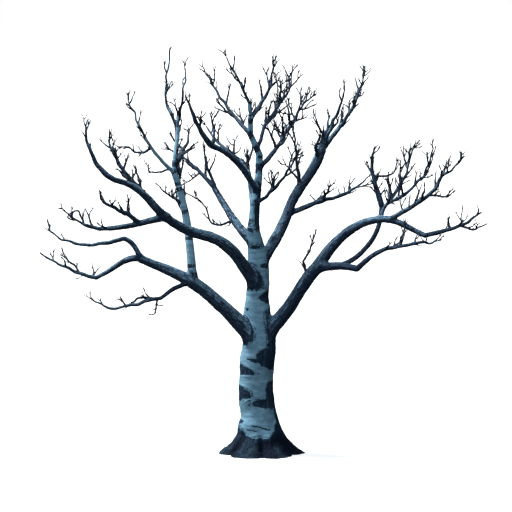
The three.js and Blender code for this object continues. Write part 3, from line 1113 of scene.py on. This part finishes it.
# %% Sweep the slim ends
SLIM_STEP = 0.025  # metres between rings
SLIM_SIDES = 12
HIDDEN_ROWS = 2  # steps of the line inside the stout wood
DRAWN_IN = 0.12  # share of the radius
FOOT_SWELL = 0.5
KNOT = 0.28  # how much a knot swells the limb
KNOT_GAP = 0.11
SLIM_RELIEF = 0.1  # share of the radius by which the bark is rough
woods = [Wood() for piece in PIECES]


def slim_part(run):
    """The slim end of a run: its line in fine steps, its tones and weathering, and the length gone."""
    start = max(run["stout_rows"] - HIDDEN_ROWS, 0)
    if run["limbs"][0] == "trunk":
        start = int(np.nonzero(run["line"][:, 2] < ring_height[-1] - 0.1)[0].max())
    table = np.column_stack([run[name][start:] for name in ("line", "tone", "grey", "gone")])
    rows = np.arange(len(table))
    fine = np.arange(0, len(table) - 1 + 1e-6, SLIM_STEP / LINE_STEP)
    table = np.stack([np.interp(fine, rows, column) for column in table.T], 1)
    line, tones, greys, gone = table[:, :4], table[:, 4], table[:, 5], table[:, 6]
    if start > 0:
        line[:, 3] *= smooth_step(-0.1, 0.08, gone - gone[0]) * DRAWN_IN + (1 - DRAWN_IN)
    else:
        line[:, 3] *= 1 + FOOT_SWELL * np.exp(-(((gone - gone[0]) / 0.12) ** 2))
    knots = wandering(gone / KNOT_GAP, 91 + start)[:, 0]
    line[:, 3] *= 1 + KNOT * np.maximum(knots, 0)
    return line, tones, greys, gone


for number, run in enumerate(runs):
    line, tones, greys, gone = slim_part(run)
    wood = woods[piece_of_run[number]]
    add_tube(wood, line, SLIM_SIDES, tones, greys, gone, SLIM_RELIEF, number * 3.7)
print("points in the slim ends:", sum(wood.count for wood in woods))

# %% [markdown]
# The skin is shared out among the pieces by which run each point belongs to. Neighbouring pieces meet
# point to point, on the same places and with the same bark values, so the seam hardly shows.

# %% Share the skin out and build the pieces
def new_piece(name, wood, stands_for):
    """A mesh object from gathered wood, with its bark values as attributes."""
    mesh = bpy.data.meshes.new(name)
    mesh.from_pydata(np.vstack(wood.points).tolist(), [], wood.faces)
    mesh.shade_smooth()
    for value in ("ink", "crest"):
        column = np.concatenate(wood.values[value]).astype(np.float32)
        mesh.attributes.new(value, "FLOAT", "POINT").data.foreach_set("value", column)
    grain = np.vstack(wood.values["grain"]).astype(np.float32).ravel()
    mesh.attributes.new("grain", "FLOAT_VECTOR", "POINT").data.foreach_set("vector", grain)
    piece = bpy.data.objects.new(name, mesh)
    bpy.context.collection.objects.link(piece)
    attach(piece, "root")
    if stands_for:
        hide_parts(*stands_for)
    triangles = sum(len(face) - 2 for face in wood.faces)
    print(name, triangles, "triangles")
    return piece


corner_start = read_off(skin.polygons, "loop_start", kind=int)
corner_point = read_off(skin.loops, "vertex_index", kind=int)
face_piece = piece_of_run[skin_run[corner_point[corner_start]]]
skin_faces = np.split(corner_point, corner_start[1:])
bark_pieces = []
for index, (name, wood) in enumerate(zip(PIECES, woods)):
    chosen = [skin_faces[n] for n in np.nonzero(face_piece == index)[0]]
    used = np.unique(np.concatenate(chosen))
    renumber = np.zeros(count, int)
    renumber[used] = np.arange(len(used)) + wood.count
    faces = [tuple(renumber[face].tolist()) for face in chosen]
    wood.add(skin_places[used], faces, ink=skin_ink[used], crest=skin_crest[used], grain=skin_grain[used])
    bark_pieces.append(new_piece(name, wood, piece_limbs[index]))

# %% [markdown]
# ## Twigs
# The crown's outline is all twigs, nearly two thousand. They follow one rule, drawn with a fixed seed so that
# the tree is the same each time. A twig leaves its limb at a bud, at a wide angle, and turns up towards
# the light. From bud to bud it swings to one side and then to the other, which makes it crooked. It
# carries shorter twigs on both sides, and often ends in a fork. Old stout wood has shed its twigs, so they
# start only where a limb is slim. Some limbs are bushier than others, and those have their own habit.

# %% Draw one twig's line
TWIG_TIP = 0.0118  # radius
SHOOT_TIP = 0.0075  # radius at the tip of the youngest rank
BUD_GAP = 0.09
TAPER = 0.7  # below 1, so a twig keeps its thickness and then thins fast
LOWEST_TWIG = 1.8  # metres above the ground
UP = np.array([0.0, 0.0, 1.0])
low_corner, high_corner = (np.array(corner) for corner in solid_box)


def unit(way):
    return way / np.linalg.norm(way)


def twig_line(start, way, length, radius, tip, lift, rng):
    """A crooked centre line from bud to bud, in (x, y, z, radius) rows."""
    buds = max(2, round(length / BUD_GAP))
    swing_way = unit(np.cross(way, rng.normal(size=3)))
    rows = [[*start, radius]]
    place = start
    for bud in range(buds):
        swing = rng.uniform(0.12, 0.42) * (1 if bud % 2 else -1)
        way = unit(way + swing * swing_way + lift * UP + 0.1 * rng.normal(size=3))
        place = place + way * length / buds * rng.uniform(0.8, 1.2)
        left = 1 - (bud + 1) / buds
        rows.append([*place, tip + (radius - tip) * left**TAPER])
    return np.array(rows)


def inside_limits(line):
    inside = (line[:, :3] > low_corner).all() and (line[:, :3] < high_corner).all()
    return inside and line[:, 2].min() > LOWEST_TWIG


trial = twig_line(5 * UP, UP, 0.6, 0.03, TWIG_TIP, 0.1, np.random.default_rng(1))
print("a trial twig of 0.6 m has", len(trial) - 1, "buds")

# %% [markdown]
# A twig swells at each bud, and every rank of twig is rounder than the one it carries: nobody counts the
# sides of a shoot. If a twig would stray out of the crown it is tried again, shorter.

# %% Grow a twig and all it carries
RANK_SIDES = (8, 6, 5)
BARE_BUDS = (0.45, 0.8)  # share of the buds on each rank that never grew
SHORTER = (1, 0.7, 0.45, 0.25)  # shares of its length, tried in turn
BUD_SWELL = 0.3
TWIG_INK = 0.93
TWIG_GREY = 0.8
TWIG_RELIEF = 0.12
LEAST_TWIG = 0.1  # metres


def grow_twig(wood, start, way, length, radius, rank, lift, rng):
    """Adds a twig, and the twigs it carries, if it stays inside the limits; returns how many that is."""
    tip = SHOOT_TIP if rank == len(RANK_SIDES) - 1 else TWIG_TIP
    for shorter in SHORTER:
        line = twig_line(start, way, length * shorter, radius, tip, lift, rng)
        if inside_limits(line):
            return dress_twig(wood, line, length, rank, lift, rng)
    return 0


def dress_twig(wood, line, length, rank, lift, rng):
    """Sweeps a twig along its line and grows shorter ones from its buds."""
    smooth = finer(line, BUD_GAP / 3)
    gone = lengths_gone(smooth)
    smooth[:, 3] *= 1 + BUD_SWELL * np.maximum(-np.cos(2 * np.pi * gone / BUD_GAP), 0) ** 3
    tones = np.full(len(smooth), 1.0 if rank else TWIG_INK)
    greys = np.full(len(smooth), TWIG_GREY)
    add_tube(wood, smooth, RANK_SIDES[rank], tones, greys, gone, TWIG_RELIEF, rng.uniform(0, 90))
    grown = 1
    if rank == len(RANK_SIDES) - 1:
        return grown
    side = 1
    for bud in range(1, len(line) - 1):
        if rng.random() < BARE_BUDS[rank]:
            continue
        ahead = unit(line[bud + 1, :3] - line[bud, :3])
        across = unit(np.cross(ahead, rng.normal(size=3)) * 0.6 + side * unit(np.cross(ahead, UP + 0.01)))
        side = -side
        child_way = unit(ahead * rng.uniform(0.7, 1.2) + across + 0.25 * UP)
        left = 1 - bud / (len(line) - 1)
        child_length = max(length * rng.uniform(0.25, 0.5) * (0.5 + left), LEAST_TWIG)
        child_radius = max(0.8 * line[bud, 3], 1.1 * TWIG_TIP)
        grown += grow_twig(wood, line[bud, :3], child_way, child_length, child_radius, rank + 1, lift, rng)
    for turn in (-1, 1):
        ahead = unit(line[-1, :3] - line[-2, :3])
        fork_way = unit(ahead + turn * 0.45 * unit(np.cross(ahead, rng.normal(size=3))) + 0.1 * UP)
        grown += grow_twig(wood, line[-1, :3], fork_way, rng.uniform(0.07, 0.16), TWIG_TIP, 2, lift, rng)
    return grown


print("a trial twig carries", dress_twig(Wood(), trial, 0.6, 0, 0.1, np.random.default_rng(1)) - 1, "others")

# %% [markdown]
# Each run is walked from where it becomes slim to its tip, and twigs are set on it by turns round the
# line. A habit gives the gap between twigs, the longest twig, and how far along the run they begin. The
# twigs of one side of the crown make one piece, so that no piece is too heavy to handle.

# %% List the habits and the twigs' pieces
PLAIN_HABIT = (0.3, 0.6, 0.0)
HABITS = {
    "low_left_bough": (0.3, 0.42, 0.72),
    "low_left_knee": (0.22, 0.3, 0.78),
    "low_left_hanging": (0.42, 0.2, 0.6),
    "mid_left_bough": (0.42, 0.4, 0.75),
    "mid_left_top_branch": (0.15, 0.36, 0.05),
    "mid_left_branch": (0.24, 0.38, 0.55),
    "mid_left_spur": (0.15, 0.24, 0.15),
    "upper_mid_bough": (0.4, 0.45, 0.5),
    "stem_left_fork": (0.4, 0.45, 0.3),
    "stem_top_left": (0.42, 0.35, 0.2),
    "rising_stem": (0.36, 0.45, 0.3),
    "crown_mid_branch": (0.11, 0.6, 0.25),
    "crown_right_branch": (0.13, 0.6, 0.25),
    "right_upper_bough": (0.16, 0.6, 0.45),
    "right_bough": (0.26, 0.45, 0.62),
    "right_inner_riser": (0.2, 0.45, 0.6),
    "riser_right": (0.17, 0.5, 0.15),
    "riser_right_fork": (0.17, 0.5, 0.15),
    "right_outer_riser": (0.21, 0.5, 0.2),
    "right_low_arm": (0.24, 0.42, 0.55),
}
TWIG_PIECES = {
    "twigs_left": ("low_left", "mid_left"),
    "twigs_upper_left": ("rising", "stem", "upper_left"),
    "twigs_top": ("upper_mid", "crown", "leader", "trunk"),
    "twigs_upper_right": ("right_upper", "right_inner_branch", "right_side"),
    "twigs_right": ("right_bough", "right_low", "right_inner_riser", "right_outer", "riser"),
    "twigs_back": ("back",),
}
print("runs with a habit of their own:", len(HABITS))

# %% Clothe a run with twigs
TWIGGY = 0.056  # twigs grow on wood of less than this radius
TWIG_SHARE = 0.75  # a twig's radius over its limb's
THINNEST_TWIG, STOUTEST_TWIG = 0.021, 0.034
TIP_FORK = 0.016  # radius of the two twigs at a limb's tip


def clothe(run, wood, rng):
    """Sets twigs along one run by its habit; returns how many grew."""
    gap, longest, begin = HABITS.get(run["limbs"][0], PLAIN_HABIT)
    line, gone = run["line"], run["gone"]
    whole = gone[-1]
    slim = line[:, 3] < TWIGGY
    if not slim.any():
        return 0
    place = max(gone[slim.argmax()], begin * whole, 0.15) + rng.uniform(0, gap)
    turn = rng.uniform(0, 2 * np.pi)
    grown = 0
    while place < whole - 0.02:
        row = min(int(np.searchsorted(gone, place)), len(line) - 2)
        ahead = unit(line[row + 1, :3] - line[row - 1, :3])
        turn += rng.uniform(1.9, 2.9)
        across = math.cos(turn) * run["sides"][0][row] + math.sin(turn) * run["sides"][1][row]
        way = unit(ahead * rng.uniform(0.5, 1.1) + across + 0.55 * UP)
        left = (whole - place) / whole
        length = longest * rng.uniform(0.45, 1) * (0.45 + 0.55 * smooth_step(0, 0.35, left))
        radius = min(max(TWIG_SHARE * line[row, 3], THINNEST_TWIG), STOUTEST_TWIG)
        lift = rng.uniform(0.05, 0.22)
        grown += grow_twig(wood, line[row, :3], way, length, radius, 0, lift, rng)
        place += gap * rng.uniform(0.6, 1.4)
    tip = line[-1, :3]
    ahead = unit(tip - line[-3, :3])
    for turn in (-1, 1):
        fork = unit(ahead + turn * 0.5 * unit(np.cross(ahead, rng.normal(size=3))) + 0.15 * UP)
        grown += grow_twig(wood, line[-1, :3], fork, rng.uniform(0.06, 0.16), TIP_FORK, 1, 0.06, rng)
    return grown


print("runs that are slim somewhere:", sum((run["line"][:, 3] < TWIGGY).any() for run in runs))

# %% [markdown]
# A few twigs are long and strong enough to be known one by one. They are listed: which run, how many
# metres up it, the radius, and the bends as centimetres right, back and up from the start. The rule
# clothes them too.

# %% Set the strong twigs one by one
STRONG_TWIGS = [
    ("upper_left_bough", 0.85, 0.028, [(-30, -10, -10), (-50, -10, -4), (-66, -20, 35), (-100, -20, 58)]),
    ("upper_left_bough", 2.28, 0.026, [(-13, -5, -14), (-37, -10, -27)]),
    ("stem_left_fork", 0.12, 0.024, [(-25, 0, -6), (-47, 5, -4), (-50, 5, 8)]),
    ("stem_left_fork", 0.82, 0.030, [(-19, 5, -12), (-38, 10, -9), (-52, 10, 1), (-73, 10, 1)]),
    ("rising_stem", 1.70, 0.030, [(-14, -5, 12), (-39, -10, 28), (-52, -10, 43)]),
    ("mid_left_top_branch", 0.35, 0.032, [(-2, 10, 20), (-10, 15, 42)]),
    ("low_left_bough", 4.80, 0.026, [(-12, 5, 18), (-22, 5, 24), (-35, 10, 40)]),
    ("low_left_bough", 4.67, 0.014, [(-13, 0, -7)]),
    ("mid_left_branch", 1.94, 0.026, [(-5, 5, 18), (-19, 5, 28), (-24, 10, 20)]),
    ("mid_left_bough", 3.87, 0.055, [(-15, 10, 20), (-34, 15, 34), (-52, 15, 46)]),
    ("mid_left_spur", 0.42, 0.036, [(0, 0, 14), (2, 0, 30)]),
    ("low_left_hanging", 0.91, 0.024, [(-3, 0, -20), (-5, 0, -34), (-12, 0, -35)]),
    ("low_left_hanging", 0.95, 0.034, [(-20, -5, 3), (-40, -8, 2), (-50, -5, -10), (-62, 0, -17)]),
    ("right_upper_bough", 2.85, 0.050, [(-6, -10, 25), (2, -20, 55)]),
    ("right_bough", 1.85, 0.028, [(-7, -5, 38), (4, -10, 62), (14, -10, 88), (18, -10, 104)]),
    ("right_inner_riser", 2.45, 0.03, [(12, -2, 0), (30, -2, 2), (42, 0, 5), (50, 0, 25)]),
    ("right_outer_riser", 1.10, 0.028, [(20, -5, -3), (42, -10, -2), (50, -10, 5)]),
    ("right_outer_riser", 0.40, 0.022, [(-5, 0, 12), (-7, 0, 22)]),
    ("right_bough", 5.95, 0.028, [(25, 0, -8), (40, 0, -5), (60, 5, 4)]),
    ("right_bough", 5.95, 0.022, [(4, 5, 12), (7, 10, 32)]),
    ("right_low_arm", 2.20, 0.032, [(5, 5, 20), (12, 10, 50)]),
]
TWIG_TAPER = 0.5  # its tip's radius over its foot's
TWIG_STRAY = 0.009
SIDE_TWIG = 0.3  # metres, from which the twigs it carries are measured
STRONG_SEED, PLAIN_SEED = 700, 500


def strong_twigs(starts, wood):
    """Sets the listed twigs of the runs whose names start so; returns how many grew."""
    grown = 0
    for number, (name, place, radius, bends) in enumerate(STRONG_TWIGS):
        if name.startswith(starts):
            run = next(run for run in runs if run["limbs"][0] == name)
            start = [np.interp(place, run["gone"], run["line"][:, axis]) for axis in range(3)]
            steps = np.array([(0, 0, 0), *bends]) / 100 + start
            radii = np.linspace(1, TWIG_TAPER, len(steps)) * radius
            line = finer(np.column_stack([steps, radii]), BUD_GAP)
            rng = np.random.default_rng(STRONG_SEED + number)
            line[1:-1, :3] += rng.normal(scale=TWIG_STRAY, size=(len(line) - 2, 3))
            grown += dress_twig(wood, line, SIDE_TWIG, 0, 0.1, rng)
    return grown


twig_pieces = []
for name, starts in TWIG_PIECES.items():
    wood = Wood()
    grown = strong_twigs(starts, wood) + sum(
        clothe(run, wood, np.random.default_rng(PLAIN_SEED + number))
        for number, run in enumerate(runs)
        if run["limbs"][0].startswith(starts)
    )
    twig_pieces.append(new_piece(name, wood, ()))
    print(name, grown, "twigs")

# %% [markdown]
# ## The paint
# A material here is sums: darkness times one colour plus the rest times another, with noise added at the
# edge. Written as wires and nodes such sums are long, so a small class lets a socket be added, multiplied
# and subtracted like a number. Every operator lays one node.

# %% Do arithmetic with sockets
class Wire:
    """An output socket of a material's node tree, with arithmetic."""

    def __init__(self, tree, socket=None):
        self.tree = tree
        self.socket = socket

    def node(self, kind, settings, inputs, output=0):
        """A node of any kind: its settings first, then a value or a wire for each input."""
        made = self.tree.nodes.new(kind)
        for name, value in settings.items():
            setattr(made, name, value)
        for name, value in inputs.items():
            if isinstance(value, Wire):
                self.tree.links.new(value.socket, made.inputs[name])
            else:
                made.inputs[name].default_value = value
        return Wire(self.tree, made.outputs[output])

    def math(self, operation, *values):
        return self.node("ShaderNodeMath", {"operation": operation}, dict(enumerate(values)))

    def __add__(self, other):
        return self.math("ADD", self, other)

    def __sub__(self, other):
        return self.math("SUBTRACT", self, other)

    def __rsub__(self, other):
        return self.math("SUBTRACT", other, self)

    def __mul__(self, other):
        return self.math("MULTIPLY", self, other)

    __radd__ = __add__
    __rmul__ = __mul__

    def stretched(self, x, y, z):
        return self.node("ShaderNodeVectorMath", {"operation": "MULTIPLY"}, {0: self, 1: (x, y, z)})

    def step(self, low, high):
        """0 below low, 1 above high and smooth between."""
        settings = {"interpolation_type": "SMOOTHSTEP"}
        return self.node("ShaderNodeMapRange", settings, {"Value": self, "From Min": low, "From Max": high})

    def mix(self, low, high):
        """A colour that turns from low to high as this wire goes from 0 to 1."""
        return self.node("ShaderNodeMix", {"data_type": "RGBA"}, {0: self, 6: low, 7: high}, 2)

    def noise(self, scale, detail=3.0, roughness=0.55):
        inputs = {"Vector": self, "Scale": scale, "Detail": detail, "Roughness": roughness}
        return self.node("ShaderNodeTexNoise", {}, inputs)


def attribute(tree, name, output):
    return Wire(tree).node("ShaderNodeAttribute", {"attribute_name": name}, {}, output)


def colour(text):
    """A paint colour from its six-digit name, made linear."""
    parts = [int(text[n : n + 2], 16) / 255 for n in (0, 2, 4)]
    return (*[p / 12.92 if p < 0.04045 else ((p + 0.055) / 1.055) ** 2.4 for p in parts], 1)


PALE_BARK = colour("7399ae")
print("pale bark in linear light:", [round(x, 3) for x in PALE_BARK])

# %% [markdown]
# The bark's paint starts from the ink. Noise frays its edge, so that dark bark breaks off into flecks.
# Pale bark is two close tones in bands round the limb, crossed by fine dark dashes, the pores that birch
# breathes through. Dark bark is near black in its cracks and grey-blue on its crests, which also carry
# painted highlight, and all but black near the ground, as painted shade. All colours are those that bark
# has in the blue of a clear winter dusk, when white reads as grey-blue and black as ink.
# One recipe paints the whole tree, in four mixes. The trunk's bark is old: full of pores and dull. The rising
# stem's is paler and clean, painted brighter as painted light, to lift the shadow that a limb behind it
# casts.
# The boughs' dark bark has paler crests, and that of the twigs is duller and darker.

# %% Mix the bark's paint
GROUND_SHADE_BARK = colour("09121e")
CREST_GREY = colour("56778e")
BOUGH_PALE, BOUGH_SHADE = colour("6f9ab0"), colour("4a6c83")


def bark_paint(name, pale, pale_shade, dark, crest_tone, dash, gloss):
    """A bark finish: the colours of its pale and dark bark, how strong its pores are, and its gloss."""
    paint = bpy.data.materials.new(name)
    paint.use_nodes = True
    tree = paint.node_tree
    shader = tree.nodes["Principled BSDF"]
    grain = attribute(tree, "grain", 1)
    ink = attribute(tree, "ink", 2)
    crest = attribute(tree, "crest", 2)
    fray = grain.stretched(1, 1, 1.6).noise(26, 4, 0.6)
    darkness = (ink + (fray - 0.5) * 0.55).step(0.44, 0.56)
    bands = grain.stretched(1, 1, 3.2).noise(3.0, 4, 0.6)
    pores = grain.stretched(0.35, 0.35, 5).noise(26, 2, 0.5).step(0.62, 0.7) * dash
    clean = bands.step(0.35, 0.7).mix(pale_shade, pale)
    smudged = (pores * 0.75).mix(clean, dark)
    streaks = grain.stretched(2.4, 2.4, 0.5).noise(30, 3, 0.6)
    # Ink above 1 turns dark bark near black: painted shade at the foot.
    ground_shaded = ink.step(1, 2).mix(dark, GROUND_SHADE_BARK)
    # The crests take the crest tone: partly the bark's own grey, partly painted highlight.
    weathered_and_lit = (crest * (streaks.step(0.34, 0.6) * 0.85 + 0.15)).mix(ground_shaded, crest_tone)
    final = darkness.mix(smudged, weathered_and_lit)
    height = darkness * streaks + (1 - darkness) * (bands * 0.3 - pores * 0.4)
    tree.links.new(final.socket, shader.inputs["Base Color"])
    tree.links.new((darkness * 0.3 + 0.55).socket, shader.inputs["Roughness"])
    bump = height.node("ShaderNodeBump", {}, {"Strength": 0.6, "Distance": 0.006, "Height": height})
    tree.links.new(bump.socket, shader.inputs["Normal"])
    shader.inputs["Specular IOR Level"].default_value = gloss
    return paint


pale_bark = bark_paint(
    "birch bark pale", PALE_BARK, colour("597d92"), colour("142436"), CREST_GREY, dash=1.0, gloss=0.05
)
# The stem's pale colours are painted brighter: painted light against the shadow of a limb behind it.
stem_bark = bark_paint(
    "birch bark stem with painted light", colour("81a9be"), colour("668ba0"), colour("101c2a"), CREST_GREY, dash=0.8, gloss=0.15
)
dark_bark = bark_paint(
    "birch bark dark", BOUGH_PALE, BOUGH_SHADE, colour("142338"), colour("7396ae"), dash=0.4, gloss=0.15
)
twig_bark = bark_paint(
    "birch bark twig", BOUGH_PALE, BOUGH_SHADE, colour("171f2c"), colour("62778a"), dash=0.4, gloss=0.15
)
paints = {"trunk_bark": pale_bark, "rising_stem_bark": stem_bark}
for piece in bark_pieces:
    piece.data.materials.append(paints.get(piece.name, dark_bark))
for piece in twig_pieces:
    piece.data.materials.append(twig_bark)
print("bark painted on", len(bark_pieces) + len(twig_pieces), "pieces")
